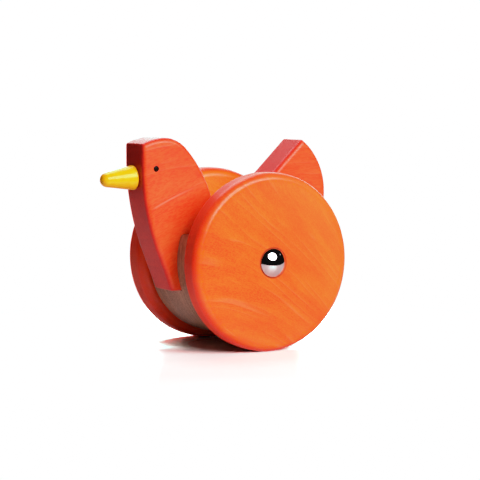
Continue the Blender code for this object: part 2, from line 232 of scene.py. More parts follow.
# %% The grain recipe
# Sizes of the noise in millimetres: into the board, along the grain and across it.
SWAY_SIZE, DRIFT_SIZE, FIBRE_SIZE, FLECK_DEPTH = (26, 44, 14), (20, 38, 17), (0.5, 7, 0.4), 0.6
# How far the bands sway in millimetres, and by how many years their steps are uneven.
SWAY, UNEVEN_YEARS = 3, 4


def grain(finish, seed, tilt, roll=0, fan=0.0, bow=0.0, year=4.5, fleck_size=(0.9, 0.4)):
    """Masks for a wood whose fibres rise at a tilt in degrees in the plane of the board.

    The seed picks the spot in the tree, and a roll turns the growth layers about the fibres.
    Returns years of growth, their pale first lines, fibres, flecks and a broad drift, each from 0
    to 1, and the places along and across the grain in millimetres.
    """
    turned = {
        "Vector": finish.place(),
        "Rotation": (math.radians(-tilt), math.radians(roll), 0),
        "Scale": (1 / MM, 1 / MM, 1 / MM),
    }
    place = finish.node("ShaderNodeMapping", {"vector_type": "POINT"}, turned)
    depth, along, across = finish.parts(place)
    fanned = (across + along * along * bow) * (1 + along * fan)
    straight = finish.node("ShaderNodeCombineXYZ", {}, {0: depth, 1: along, 2: fanned})
    swayed = fanned + (finish.noise(straight, SWAY_SIZE, 1.0) - 0.5) * SWAY
    bent = finish.node("ShaderNodeCombineXYZ", {}, {0: depth, 1: along, 2: swayed})
    bent = finish.vectors("ADD", bent, seed)
    uneven = finish.noise(bent, (60, 90, 1.7 * year), 1.0)
    turn = finish.maths("FRACT", swayed / year + uneven * UNEVEN_YEARS)
    strength = finish.noise(bent, (30, 30, 1.2 * year), 1.0)
    line = finish.step(turn, 0.0, 0.05) - finish.step(turn, 0.07, 0.2)
    fibres = finish.noise(bent, FIBRE_SIZE, 3.0, 0.6)
    flecks = finish.noise(bent, (FLECK_DEPTH, *fleck_size), 2.0, 0.6, 0.5)
    return SimpleNamespace(
        years=(finish.step(turn, 0.0, 0.12) - turn) * finish.step(strength, 0.35, 0.6),
        lines=line * finish.step(strength, 0.45, 0.65),
        fibres=finish.step(fibres, 0.34, 0.66),
        flecks=finish.step(flecks, 0.36, 0.64),
        drift=finish.step(finish.noise(bent, DRIFT_SIZE, 1.0), 0.36, 0.64),
        along=along,
        across=across,
    )


print("grain recipe is ready")

# %% [markdown]
# ## Stain on wood
#
# The toy was stained and then rubbed with oil, so the grain still shows through the colour. One flat
# colour would look like plastic. Here the grain's masks are added up to one tone, and the tone picks
# between a light and a deep shade of the same stain. Where the wood was cut across its fibres it
# drinks more, so a second step can deepen any part of the surface.

# %% Stain, and deeper stain
# How much each mask adds to the tone, and a base that keeps most of the tone between 0 and 1.
YEARS_SHARE, FIBRES_SHARE, FLECKS_SHARE, DRIFT_SHARE, TONE_BASE = 0.46, 0.28, 0.52, 0.26, -0.17
# How much paler a year's first line is, and how the oil's roughness varies with the flecks.
PALER, WOOD_ROUGH, FLECK_ROUGH = 0.10, 0.33, 0.10
RELIEF, RELIEF_DEPTH = 0.03, 0.2 * MM


def stained_wood(name, tones, seed, tilt, line=0.2, **growth):
    """Wood under a tinted stain, given as its light and its deep tone, and a satin oil."""
    finish = Finish(name, IOR=1.5, Specular_IOR_Level=0.28)
    wood = grain(finish, seed, tilt, **growth)
    finish.wood = wood
    finish.tone = wood.years * YEARS_SHARE + wood.fibres * FIBRES_SHARE
    finish.tone = finish.tone + wood.flecks * FLECKS_SHARE + wood.drift * DRIFT_SHARE + TONE_BASE
    light, deep = tones
    finish.pale = [part + (1 - part) * PALER for part in light]
    colour = finish.blend(finish.tone, deep, light)
    finish.colour = finish.blend(wood.lines * line, colour, finish.pale)
    finish.bump(wood.fibres * 0.5 + wood.flecks * 0.5, RELIEF, RELIEF_DEPTH)
    finish.set(Base_Color=finish.colour)
    finish.set(Roughness=WOOD_ROUGH + (0.5 - wood.flecks) * FLECK_ROUGH)
    return finish


def deepen(finish, mask, tones):
    """Where the mask is 1 the wood took another stain, as end grain and cut rims do."""
    light, deep = tones
    finish.colour = finish.blend(mask, finish.colour, finish.blend(finish.tone, deep, light))
    finish.set(Base_Color=finish.colour)


print("stain recipe is ready")

# %% [markdown]
# ## The shades
#
# The wheels are orange, the hen is a redder orange, and the drum was left natural. The numbers could
# be picked from a colour wheel, but what counts is how they look under the studio's lights, so they
# were tuned by rendering. Each stain is a pair: where the fibres took little of it, and where they
# drank it in. The last two are painted light and painted shade, the same in both because they don't
# follow the grain.

# %% Pairs of shades, light and deep
ORANGE = (0.95, 0.140, 0.012), (0.89, 0.053, 0.003)
ORANGE_RIM = (0.96, 0.066, 0.016), (0.90, 0.030, 0.009)
GOLDEN = (0.95, 0.205, 0.014), (0.92, 0.115, 0.004)
RED = (0.95, 0.114, 0.024), (0.90, 0.043, 0.005)
RED_RIM = (0.87, 0.027, 0.015), (0.73, 0.014, 0.010)
# Painted shade for the front of the head, darker than the stained edges.
RED_HEAD_SHADE = (0.60, 0.022, 0.014), (0.50, 0.013, 0.010)
# Partly the drum's own oiled colour, partly painted shade: darker and redder than bare wood.
NATURAL = (0.58, 0.275, 0.16), (0.28, 0.108, 0.06)
DOWEL = (0.66, 0.46, 0.31), (0.50, 0.33, 0.21)
# Painted light: a paler orange for the side of the left wheel that the key light reaches.
PAINTED_LIGHT = ((0.96, 0.25, 0.05),) * 2
# Painted shade: the dark ring just outside each cap, where the cap shades the wheel.
CAP_SHADE = ((0.22, 0.022, 0.006),) * 2
# In this list fading is painted light on the left wheel, grime is painted shade round the cap, and end
# grain includes painted shade on the head's front.
print("shades: orange, golden, red, natural and dowel, with rims, end grain, fading and grime")

# %% [markdown]
# ## The wheels' stain
#
# A wheel is turned from a plank, so its roundings and its tread cut across the fibres and come out a
# redder orange than its flat faces. A thin dark ring round the cap is painted shade from the cap.
# Hands keep the roundings glossy, and rolling wears the tread dull. All of it depends on the distance
# from the axle, so smooth steps of that distance place it, with no picture to line up.

# %% Stain for a wheel
# Depths under the tread in millimetres at which each mask starts and is full.
RIM_STAINED, HANDLED, ROLLED = (2.8, 0.2), (6, 3.5), (2.5, 0.5)
# Where the cap's painted shade ends and where the tread's middle starts and ends, in millimetres too.
CAP_SHADE_EDGE, MIDDLE_FROM, MIDDLE_TO = (0.2, 0.9), (2.5, 4.5), (9, 11.5)
CAP_SHADE_SHARE, HANDLED_GLOSS, ROLLED_DULL, TONE_ROUGH = 0.9, 0.07, 0.25, 0.08


def wheel_stain(name, tones, seed, tilt, fan, bow):
    """Orange on the flat faces, and a deeper red orange on the roundings and the tread."""
    finish = stained_wood(name, tones, seed, tilt, fan=fan, bow=bow)
    x, y, z = finish.parts(finish.place())
    radius = finish.maths("SQRT", y * y + z * z)

    def near_tread(starts, full):
        return finish.step(radius, WHEEL_RADIUS - starts * MM, WHEEL_RADIUS - full * MM)

    def beyond(value, edge, base=0.0):
        return finish.step(value, base + edge[0] * MM, base + edge[1] * MM)

    deepen(finish, near_tread(*RIM_STAINED), ORANGE_RIM)
    # Painted shade: a dark ring just outside the cap, where the cap shades the wheel.
    ring = 1 - beyond(radius, CAP_SHADE_EDGE, CAP_RADIUS)
    deepen(finish, ring * CAP_SHADE_SHARE, CAP_SHADE)
    handled = near_tread(*HANDLED)
    rolled = (beyond(x, MIDDLE_FROM) - beyond(x, MIDDLE_TO)) * near_tread(*ROLLED)
    gloss = handled * HANDLED_GLOSS - rolled * ROLLED_DULL
    finish.set(Roughness=WOOD_ROUGH - gloss + (0.5 - finish.tone) * TONE_ROUGH)
    return finish


left_orange = wheel_stain("orange_stain_left", ORANGE, (3, 8, 1), -34, 0.010, 0.0022)
right_orange = wheel_stain("orange_stain_right", GOLDEN, (41, 17, 9), 18, -0.004, 0.002)
print("wheel stains:", left_orange.material.name, right_orange.material.name)

# %% [markdown]
# ## Painted light and shade on the wheels
#
# The left wheel's face is painted lighter towards its upper rear, the side that the key light comes
# from: painted light. The right wheel is painted redder on its lower half, which lies in shade:
# painted shade. Both could be painted on by hand. A smooth step along one direction does the same, and
# it stays on the wheel when the wheel turns.

# %% Paint light on the left wheel and shade on the right one
# Painted light: how far the left wheel's face is lightened towards its upper rear.
LIGHT_REARWARDS, LIGHT_UPWARDS, LIGHT_SHARE = 0.85, 0.5, 0.28
_, y, z = left_orange.parts(left_orange.place())
lightened = left_orange.step(y * LIGHT_REARWARDS + z * LIGHT_UPWARDS, -10 * MM, 50 * MM)
deepen(left_orange, lightened * LIGHT_SHARE, PAINTED_LIGHT)

# Painted shade: the right wheel's lower half is deepened to a redder orange.
SHADE_BELOW_SHARE = 0.9
_, _, z = right_orange.parts(right_orange.place())
shaded_below = right_orange.step(0 - z, -24 * MM, 6 * MM)
deepen(right_orange, shaded_below * SHADE_BELOW_SHARE, ORANGE_RIM)
print("the left wheel is faded towards its upper rear, the right one redder below")

# %% [markdown]
# ## The hen's stain
#
# The hen was sawn from a board whose grain rises towards the tail, with wide years and long flecks.
# One pale line of growth bows right across the body, from the breast to the nape. The recipe's own
# lines fall where they like, so this one is drawn on top: a parabola along the grain, thin and soft,
# that starts sharply at the breast and fades out towards the nape.

# %% Red stain with its pale line
GROWTH = {"fan": 0.004, "bow": 0.003, "year": 6.5, "fleck_size": (2.6, 0.75)}
red = stained_wood("red_stain", RED, (7, 30, 15), 25, line=0.25, **GROWTH)
# Places along and across the grain in millimetres, as the grain recipe gives them.
LINE_FROM, LINE_TO, LINE_FADES, LINE_CREST = -38.0, -8.0, 18.0, -30.0
LINE_HEIGHT, LINE_BOW, LINE_WIDTH, LINE_STRENGTH = 47.5, 0.0028, 0.75, 0.65
along = red.wood.along
beyond = along - LINE_CREST
height = red.wood.across - LINE_HEIGHT + beyond * beyond * LINE_BOW
near_line = 1 - red.step(red.maths("ABSOLUTE", height), 0.0, LINE_WIDTH)
on_line = red.step(along, LINE_FROM, LINE_FROM + 3) - red.step(along, LINE_TO - LINE_FADES, LINE_TO)
red.colour = red.blend(near_line * on_line * LINE_STRENGTH, red.colour, red.pale)
print(f"pale line: {LINE_TO - LINE_FROM:.0f} mm long")

# %% [markdown]
# ## Dark edges, and painted shade on the head's front
#
# The narrow edges of the board were cut across the fibres and drank more stain than its flat sides.
# The front of the head was cut across them too, and it is painted darker still as painted shade.
# Separate materials would leave a hard seam, so masks made from the place on the board blend the
# stains.

# %% Deepen the board's edges
x, y, _ = red.parts(red.place())
edge = 1 - red.step(red.maths("ABSOLUTE", x), BOARD_SIDE - 1.3 * MM, BOARD_SIDE - 0.05 * MM)
deepen(red, edge, RED_RIM)
# Painted shade: the front of the head is darker than the other edges.
shaded_head_front = 1 - red.step(y, -59.0 * MM, -57.6 * MM)
deepen(red, edge * shaded_head_front, RED_HEAD_SHADE)
print("the hen's edges and the front of its head are deepened")

# %% [markdown]
# ## Natural wood
#
# The drum was oiled but not stained, so it is a browner wood of the same recipe. Its tones are
# darker and redder than bare oiled wood: partly its own colour, partly painted shade with the red
# cast of the stained parts round it. Its grain stands upright, and its layers of growth are stacked
# across the toy, which is what the roll is for: the sanded belly then shows fine, nearly parallel
# lines. The dowels are plain pale stock.

# %% Wood for the drum and the dowels
STACKED = {"roll": 80, "year": 3.0, "fleck_size": (5, 0.5)}
natural = stained_wood("natural_wood", NATURAL, (11, 2, 6), 84, **STACKED)
dowel = stained_wood("dowel_wood", DOWEL, (5, 5, 5), 0, year=1.5)
woods = [left_orange, right_orange, red, natural, dowel]
print("wood finishes:", [wood.material.name for wood in woods])

# %% [markdown]
# ## Yellow lacquer
#
# The beak is turned and then dipped in gloss lacquer, which still shows the faint rings of the lathe.
# Rings could be cut into the mesh, but they are far finer than its faces. Noise that is thin along
# the beak and long round it makes them in colour and relief, and wide soft patches vary the pigment.

# %% Lacquer for the beak
RING_SIZE, PATCH_SIZE = (0.35 * MM, 40 * MM, 40 * MM), (3 * MM,) * 3
YELLOW, WARM_YELLOW, RING_YELLOW = (0.98, 0.48, 0.006), (0.96, 0.43, 0.004), (0.90, 0.42, 0.004)
yellow = Finish("yellow_lacquer", IOR=1.5, Specular_IOR_Level=0.22)
place = yellow.place()
rings = yellow.noise(place, RING_SIZE)
patches = yellow.step(yellow.noise(place, PATCH_SIZE), 0.35, 0.65)
pigment = yellow.blend(patches, WARM_YELLOW, YELLOW)
yellow.set(Base_Color=yellow.blend(rings * 0.25, pigment, RING_YELLOW))
yellow.bump(rings, 0.03, 0.1 * MM)
yellow.set(Roughness=0.16 + patches * 0.05)
print("lacquer is ready:", yellow.material.name)

# %% [markdown]
# ## Black paint
#
# Paint on a small peg lies a little uneven, like the skin of an orange. It is a thin matte black
# with only a dim shine, so that the eye reads as a dark dot from every side.

# %% Paint for the eyes
PEEL_SIZE, BLACK, WORN_BLACK = (0.25 * MM,) * 3, (0.006, 0.002, 0.001), (0.014, 0.005, 0.003)
black = Finish("black_paint", IOR=1.5, Specular_IOR_Level=0.03)
peel = black.noise(black.place(), PEEL_SIZE)
black.set(Base_Color=black.blend(peel, BLACK, WORN_BLACK))
black.bump(peel, 0.1, 0.05 * MM)
black.set(Roughness=0.2 + peel * 0.1)
print("paint is ready:", black.material.name)

# %% [markdown]
# ## Plated, drawn and raw metal
#
# Plated steel is almost a mirror, but handling leaves a film in patches. Drawn steel and brass keep
# fine lines along their length, and raw ballast steel is mottled with scale. One recipe makes all
# four: only the size of the marks, the shine and the relief differ.

# %% Metal finishes
FILM_SIZE, DRAWN_LINES = (2.6 * MM,) * 3, (6 * MM, 0.2 * MM, 0.2 * MM)
POLISHING_MARKS, SCALE_MARKS = (0.9 * MM,) * 3, (0.5 * MM,) * 3


def metal(name, tones, mark_size, shine, relief):
    """A metal whose colour and shine change in patches, with fine marks of the given size."""
    bright, dull = tones
    finish = Finish(name, Metallic=1.0)
    place = finish.place()
    marks = finish.noise(place, mark_size, 3.0, 0.6)
    film = finish.step(finish.noise(place, FILM_SIZE, 3.0), 0.4, 0.7)
    finish.set(Base_Color=finish.blend(film * 0.6 + marks * 0.4, bright, dull))
    clean, filmed = shine
    finish.set(Roughness=clean + film * (filmed - clean))
    finish.bump(marks, relief, 0.05 * MM)
    return finish


PLATE, STEEL = ((0.76, 0.67, 0.67), (0.70, 0.61, 0.61)), ((0.62, 0.62, 0.64), (0.50, 0.50, 0.52))
IRON, BRASS = ((0.34, 0.34, 0.36), (0.20, 0.19, 0.19)), ((0.80, 0.58, 0.26), (0.62, 0.42, 0.18))
chrome = metal("polished_chrome", PLATE, POLISHING_MARKS, (0.02, 0.05), 0.01)
steel = metal("drawn_steel", STEEL, DRAWN_LINES, (0.22, 0.36), 0.12)
ballast_steel = metal("ballast_steel", IRON, SCALE_MARKS, (0.38, 0.6), 0.25)
brass = metal("brass_tube", BRASS, DRAWN_LINES, (0.24, 0.4), 0.1)
print("metals:", [made.material.name for made in (chrome, steel, ballast_steel, brass)])

# %% [markdown]
# ## A lathe
#
# Wheels, caps, beak and eyes are turned on a lathe. A cylinder primitive could be bevelled into
# shape, but a lathe is closer to the real work: half of the section is drawn once, with true arcs,
# and swept round the axle. Many sides keep the outline smooth close up.


# %% Arcs and a lathe
def at_angle(degrees):
    """A direction in a drawing, at an angle that counts up from its first axis."""
    return Vector((math.cos(math.radians(degrees)), math.sin(math.radians(degrees))))


def arc(centre, radius, start, end, step=1.5):
    """Points on an arc between two angles in degrees, both ends included."""
    count = max(2, math.ceil(abs(end - start) / step))
    points = []
    for i in range(count + 1):
        angle = math.radians(start + (end - start) * i / count)
        points.append((centre[0] + radius * math.cos(angle), centre[1] + radius * math.sin(angle)))
    return points


ON_AXIS = 1e-7


def lathe(profile, sides, closed=False):
    """A mesh turned about X from (x, radius) points. A closed profile has a bore through it."""
    verts, faces, rings = [], [], []
    for x, radius in profile:
        around = sides if radius > ON_AXIS else 1
        rings.append(range(len(verts), len(verts) + around))
        for i in range(around):
            angle = 2 * math.pi * i / sides
            verts.append((x, radius * math.cos(angle), radius * math.sin(angle)))
    pairs = list(zip(rings, rings[1:])) + ([(rings[-1], rings[0])] if closed else [])
    for near, far in pairs:
        for here in range(sides):
            after = (here + 1) % sides
            corners = [near[i % len(near)] for i in (here, after)]
            corners += [far[i % len(far)] for i in (after, here)]
            faces.append(tuple(dict.fromkeys(corners)))
    mesh = bmesh.new()
    made = [mesh.verts.new(vert) for vert in verts]
    for face in faces:
        mesh.faces.new([made[i] for i in face])
    return mesh


print("the lathe is ready; a quarter turn has", len(arc((0, 0), 1, 0, 90)), "points")

# %% [markdown]
# ## A saw and a rounding cutter
#
# The hen and the drum are sawn from boards and then rounded over. Blender's Bevel modifier could do
# the rounding, but it trips over tight corners in an outline. So the outline is given the board's
# thickness and is moved inwards step by step near each face, which is just what the round cutter
# does. Sharp corners of the outline are softened on the way.

# %% Inset and board
SHARP = math.radians(20)
CORNER_STEPS = 6


def neighbours(outline):
    """Each point of a closed outline, between the one before it and the one after it."""
    return zip(outline[-1:] + outline[:-1], outline, outline[1:] + outline[:1])


def inset(outline, distance, soft):
    """The outline moved inwards, with every sharp corner softened to a small radius."""
    ring = []
    for before, here, after in neighbours(outline):
        arrive = (Vector(here) - Vector(before)).normalized()
        leave = (Vector(after) - Vector(here)).normalized()
        arrive, leave = Vector((-arrive.y, arrive.x)), Vector((-leave.y, leave.x))
        mitre = (arrive + leave) / (1 + arrive.dot(leave))
        if soft and arrive.dot(leave) < math.cos(SHARP):
            centre = Vector(here) + mitre * (distance + soft)
            for k in range(CORNER_STEPS + 1):
                ring.append(centre - arrive.lerp(leave, k / CORNER_STEPS).normalized() * soft)
        else:
            ring.append(Vector(here) + mitre * distance)
    return ring


def board(outline, x_from, x_to, round_low, round_high, soft=0.0, steps=8):
    """A mesh sawn to an outline of (y, z) points, with both rims rounded over in steps."""
    section = []
    turns = [math.radians(90 * k / steps) for k in range(steps + 1)]
    for x, size, inwards in ((x_from, round_low, 1), (x_to, round_high, -1)):
        rim = [(x + inwards * size * (1 - math.cos(t)), size * (1 - math.sin(t))) for t in turns]
        section += rim if inwards > 0 else rim[::-1]
    mesh = bmesh.new()
    rings = []
    for x, distance in section:
        rings.append([mesh.verts.new((x, p.x, p.y)) for p in inset(outline, distance, soft)])
    for near, far in zip(rings, rings[1:]):
        for i in range(len(near)):
            mesh.faces.new((near[i - 1], near[i], far[i], far[i - 1]))
    mesh.faces.new(rings[0])
    mesh.faces.new(rings[-1])
    return mesh


print("the saw is ready")

# %% [markdown]
# ## From mesh to object
#
# Sanded wood flows from its flat sides into its roundings without an edge, while a bore has a crisp
# one. Smooth shading with a limit on the angle gives both. Holes are cut with Boolean modifiers that
# are applied at once, so that the finished piece is plain geometry. Each cutter is a hair wider than
# what goes into its hole, because two surfaces in the same place would flicker.

# %% Objects, cutters and holes
EDGE_STAYS = math.radians(32)
FIT, HOLE_SIDES = 0.05 * MM, 48


def add_object(name, data):
    made = bpy.data.objects.new(name, data)
    bpy.context.scene.collection.objects.link(made)
    return made


def mesh_object(name, mesh):
    data = bpy.data.meshes.new(name)
    mesh.to_mesh(data)
    mesh.free()
    return add_object(name, data)


def new_object(name, mesh, place=AXLE, turn=(0, 0, 0)):
    """An object with its faces outwards, smooth but for its edges, put in its place."""
    bmesh.ops.recalc_face_normals(mesh, faces=mesh.faces)
    made = mesh_object(name, mesh)
    made.data.shade_smooth()
    made.data.set_sharp_from_angle(angle=EDGE_STAYS)
    made.location = place
    made.rotation_euler = turn
    return made


def cutter(low, high, radius, sides, place, turn=(0, 0, 0)):
    """A round cutter from low to high on its own X axis, a hair wider than the radius."""
    profile = [(low, 0), (low, radius + FIT), (high, radius + FIT), (high, 0)]
    return new_object("cutter", lathe(profile, sides), place, turn)


def hole_for(node, reach):
    """A cutter round a bar's solid that reaches equally far to both sides."""
    return cutter(-reach, reach, bar_radius(node), HOLE_SIDES, bar_middle(node))


def drill(piece, holes):
    """Takes each cutter's shape out of the piece for good."""
    for bit in holes:
        hole = piece.modifiers.new("hole", "BOOLEAN")
        hole.operation = "DIFFERENCE"
        hole.solver = "EXACT"
        hole.object = bit
    graph = bpy.context.evaluated_depsgraph_get()
    drilled = bpy.data.meshes.new_from_object(piece.evaluated_get(graph))
    piece.modifiers.clear()
    piece.data = drilled
    for bit in holes:
        bpy.data.objects.remove(bit)


print(f"cutters are {FIT / MM:.2f} mm wider all round than what they make room for")

# %% [markdown]
# ## A piece of the toy
#
# On the real toy each piece belongs to something that moves: the axle, the hen or a wheel. So a
# finished piece gets its material, rides on the solid body that carries it, and stands in for the
# plainer solid. Its normals are weighted by area, so that the big flats stay flat right up to the
# rounding.


# %% A piece that rides on a body
def new_piece(name, mesh, finish, body, nodes, place=AXLE, turn=(0, 0, 0), holes=()):
    """A piece in its finish, riding on a body in place of the solids that it stands for.

    Its place is in metres.
    """
    piece = new_object(name, mesh, place, turn)
    if holes:
        drill(piece, holes)
    piece.data.materials.clear()
    piece.data.materials.append(finish.material)
    normals = piece.modifiers.new("flat faces stay flat", "WEIGHTED_NORMAL")
    normals.keep_sharp = True
    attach(piece, body)
    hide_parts(*nodes)
    print(f"{name}: {len(piece.data.polygons)} faces on {body}")
    return piece


# The hen's left is at positive X. A piece on its right is the left one turned half round.
SIDES = (("left", 1, (0, 0, 0)), ("right", -1, (0, 0, math.pi)))
print("pieces come in pairs for", [side_name for side_name, _, _ in SIDES])

# %% [markdown]
# ## The wheels
#
# Each wheel is a thick disc with generously rounded rims, drilled for the axle. The rounding is what
# catches the long highlight round the left wheel. It is wider on the outer face than deep on the
# tread, so it is a quarter of an ellipse there. The bore's edges are broken with a small bevel, as
# in any good toy.

# %% Turn both wheels
OUTER_WIDE, OUTER_DEEP, INNER_ROUND = 4.2 * MM, 3.8 * MM, 4.8 * MM
BORE_EASE, BORE_PLAY, WHEEL_SIDES = 0.4 * MM, 0.2 * MM, 192
bore = AXLE_RADIUS + BORE_PLAY
thickness = WHEEL_OUT - WHEEL_IN
inner, outer = [], []
for x, z in arc((0, 0), 1.0, 180, 90, 7.5):
    inner.append((INNER_ROUND * (1 + x), WHEEL_RADIUS - INNER_ROUND * (1 - z)))
    outer.insert(0, (thickness - OUTER_WIDE * (1 + x), WHEEL_RADIUS - OUTER_DEEP * (1 - z)))
wheel_profile = [(BORE_EASE, bore), (0, bore + BORE_EASE), *inner, *outer]
wheel_profile += [(thickness, bore + BORE_EASE), (thickness - BORE_EASE, bore)]
for side_name, side, facing in SIDES:
    wheel, body = lathe(wheel_profile, WHEEL_SIDES, closed=True), side_name + "_wheel"
    stain = left_orange if side > 0 else right_orange
    place = AXLE + Vector((side * WHEEL_IN, 0, 0))
    new_piece(side_name + "_wheel_disc", wheel, stain, body, [body], place, facing)

# %% [markdown]
# ## The push-on caps
#
# A thin pressed-steel dome hides each end of the axle. A half ball could be squashed to fit, but its
# reflections would come out wrong. It is a shell instead: part of a true ball outside, a slightly
# smaller ball inside, and a rim that is rolled round so that it is never sharp.

# %% Press the caps
CAP_WALL, CAP_ROLL, CAP_ROLL_ANGLE, CAP_SIDES = 0.6 * MM, 0.12 * MM, 1.5, 96


def ball_radius(rim, rise):
    """The radius of the ball that a dome with this rim and rise is cut from."""
    return (rim**2 + rise**2) / (2 * rise)


rise = CAP_TOP - CAP_BASE
ball = ball_radius(CAP_RADIUS, rise)
centre = (rise - ball, 0)
rim_angle = math.degrees(math.asin(CAP_RADIUS / ball))
inner_angle = math.degrees(math.acos((ball - rise) / (ball - CAP_WALL)))
cap_profile = arc(centre, ball, 0, rim_angle - CAP_ROLL_ANGLE)
cap_profile += [(0.0, CAP_RADIUS - CAP_ROLL)]
cap_profile += arc(centre, ball - CAP_WALL, inner_angle, 0, 3)
for side_name, side, facing in SIDES:
    cap, node = lathe(cap_profile, CAP_SIDES), side_name + "_cap"
    place = AXLE + Vector((side * CAP_BASE, 0, 0))
    new_piece(side_name + "_dome", cap, chrome, "axle", [node], place, facing)

# %% [markdown]
# ## The hen's outline
#
# The hen is one board whose edge is a chain of arcs and straight lines: breast, rump, tail, notch,
# nape, crown and brow. It could be traced as a long list of points, but a template made of arcs is
# smooth and easy to change. The sizes are those that the solid was drawn with, in millimetres from
# the middle of the axle, but the arcs are divided four times finer here.

# %% Sizes of the hen, and two helpers
FRONT_Y, BREAST_TOP_Z, BREAST_RADIUS, BREAST_SWEEP = -59.4, 50.5, 122.5, 21.5
BOTTOM_Z, RUMP_RADIUS, TAIL_REAR = -14.5, 120.0, (48.6, 33.0)
TAIL_RADIUS, TAIL_EDGE, TAIL_SLOPE = 33.5, (17.0, 43.9), 43.7
CROWN, CROWN_RADIUS, CROWN_SWEEP = (-46.4, 62.3), 16.5, 46.4
NAPE_RADIUS, NOTCH_RADIUS, BROW_RADIUS = 63.0, 8.0, 29.7


def leaves_circle(start, slope, centre, radius):
    """Where a line that rises from a start at a slope in degrees comes out of a circle."""
    along = at_angle(slope)
    off = Vector(start) - Vector(centre)
    middle = off.dot(along)
    reach = math.sqrt(middle**2 - off.length_squared + radius**2) - middle
    return tuple(Vector(start) + along * reach)


def heading(centre, point):
    return math.degrees(math.atan2(point[1] - centre[1], point[0] - centre[0]))


print(f"hen: {TAIL_REAR[0] - FRONT_Y:.1f} mm long, {CROWN[1] - BOTTOM_Z:.1f} mm high without its beak")

# %% [markdown]
# ## Drawing the outline
#
# The outline starts at the top of the breast and runs down, back under the drum, up the tail and
# forwards over the head. Each arc starts where the one before it ends. The notch is the hard one: its
# small arc has to touch both the tail's straight edge and the nape, so its middle is where a line
# beside the tail meets a circle round the nape's middle.


# %% Draw the hen
def hen_outline():
    breast = arc((FRONT_Y + BREAST_RADIUS, BREAST_TOP_Z), BREAST_RADIUS, 180, 180 + BREAST_SWEEP)
    run_in = (breast[-1][1] - BOTTOM_Z) * math.tan(math.radians(BREAST_SWEEP))
    foot = (breast[-1][0] + run_in, BOTTOM_Z)
    rump_start = -math.degrees(math.asin((TAIL_REAR[1] - BOTTOM_Z) / RUMP_RADIUS))
    rump = arc((TAIL_REAR[0] - RUMP_RADIUS, TAIL_REAR[1]), RUMP_RADIUS, rump_start, 0)
    tail_centre = (TAIL_REAR[0] - TAIL_RADIUS, TAIL_REAR[1])
    tip = leaves_circle(TAIL_EDGE, TAIL_SLOPE, tail_centre, TAIL_RADIUS)
    tail = arc(tail_centre, TAIL_RADIUS, 0, heading(tail_centre, tip))
    crown_end = 90 - CROWN_SWEEP
    crown_centre = Vector((CROWN[0], CROWN[1] - CROWN_RADIUS))
    crown = arc(crown_centre, CROWN_RADIUS, crown_end, 90)
    nape_centre = crown_centre - at_angle(crown_end) * (NAPE_RADIUS - CROWN_RADIUS)
    slope = math.radians(TAIL_SLOPE)
    beside = (
        TAIL_EDGE[0] - NOTCH_RADIUS * math.sin(slope),
        TAIL_EDGE[1] + NOTCH_RADIUS * math.cos(slope),
    )
    notch_centre = leaves_circle(beside, TAIL_SLOPE, nape_centre, NAPE_RADIUS + NOTCH_RADIUS)
    nape_start = heading(nape_centre, notch_centre)
    notch = arc(notch_centre, NOTCH_RADIUS, TAIL_SLOPE - 90, nape_start - 180, 4)
    nape = arc(nape_centre, NAPE_RADIUS, nape_start, crown_end)
    brow_sweep = math.degrees(math.asin((CROWN[0] - FRONT_Y) / BROW_RADIUS))
    brow = arc((CROWN[0], CROWN[1] - BROW_RADIUS), BROW_RADIUS, 90, 90 + brow_sweep)
    runs = [breast, [foot], rump, tail[1:], notch, nape[1:], crown[1:], brow[1:]]
    return [(y * MM, z * MM) for run in runs for y, z in run]


drawn = hen_outline()
print("hen outline:", len(drawn), "points")

# %% [markdown]
# ## Room for the corners
#
# The rounding moves the outline inwards, so near a sharp corner the points of the arcs would run past
# the softened corner and fold over. They are dropped first. The corner itself stays, and the saw
# softens it.

# %% Clear the corners
BOARD_ROUND, CORNER_SOFT, CORNER_SPARE = 2.5 * MM, 1.2 * MM, 0.2 * MM
SAME_POINT = 1e-9


def clear_corners(outline, reach):
    """Drops the points that stand so near a sharp corner that the rounding would run over them."""
    corners = []
    for before, here, after in neighbours(outline):
        arrive, leave = Vector(here) - Vector(before), Vector(after) - Vector(here)
        turn = arrive.angle(leave)
        if turn > SHARP:
            corners.append((Vector(here), reach * math.tan(turn / 2)))
    kept = []
    for point in outline:
        gaps = [((Vector(point) - corner).length, room) for corner, room in corners]
        if all(gap < SAME_POINT or gap > room for gap, room in gaps):
            kept.append(point)
    return kept


outline = clear_corners(drawn, BOARD_ROUND + CORNER_SOFT + CORNER_SPARE)
print("points left after clearing the corners:", len(outline))

# %% [markdown]
# ## Where beak and eyes sit
#
# The beak is a turned cone with a tenon that is glued into a hole in the head, and it droops by a few
# degrees. Each eye is a peg in a small blind hole. Their solids give the places, so that the holes
# drilled next and the pieces turned later agree.

# %% Beak and eye places
BEAK_LENGTH, BEAK_BASE, BEAK_TIP, BEAK_EASE = 18.3 * MM, 6.2 * MM, 3.6 * MM, 0.8 * MM
TENON_RADIUS, TENON_LENGTH, BEAK_HEIGHT = 3.5 * MM, 10.0 * MM, 42.6 * MM
BEAK_DROOP = math.radians(3.1)
EYE_RADIUS, EYE_PEG, EYE_HOLE_SIDES = 1.5 * MM, 4.0 * MM, 32
tip_x = BEAK_LENGTH - BEAK_TIP
beak_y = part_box("beak")[0].y + BEAK_TIP + tip_x * math.cos(BEAK_DROOP)
beak_place = Vector((0, beak_y, AXLE.z + BEAK_HEIGHT))
beak_turn = Matrix.Rotation(BEAK_DROOP, 4, "X") @ Matrix.Rotation(-math.pi / 2, 4, "Z")
beak_turn = beak_turn.to_euler()
eye_middle = bar_middle("left_eye")


def eye_place(side):
    return Vector((side * BOARD_SIDE, eye_middle.y, eye_middle.z))


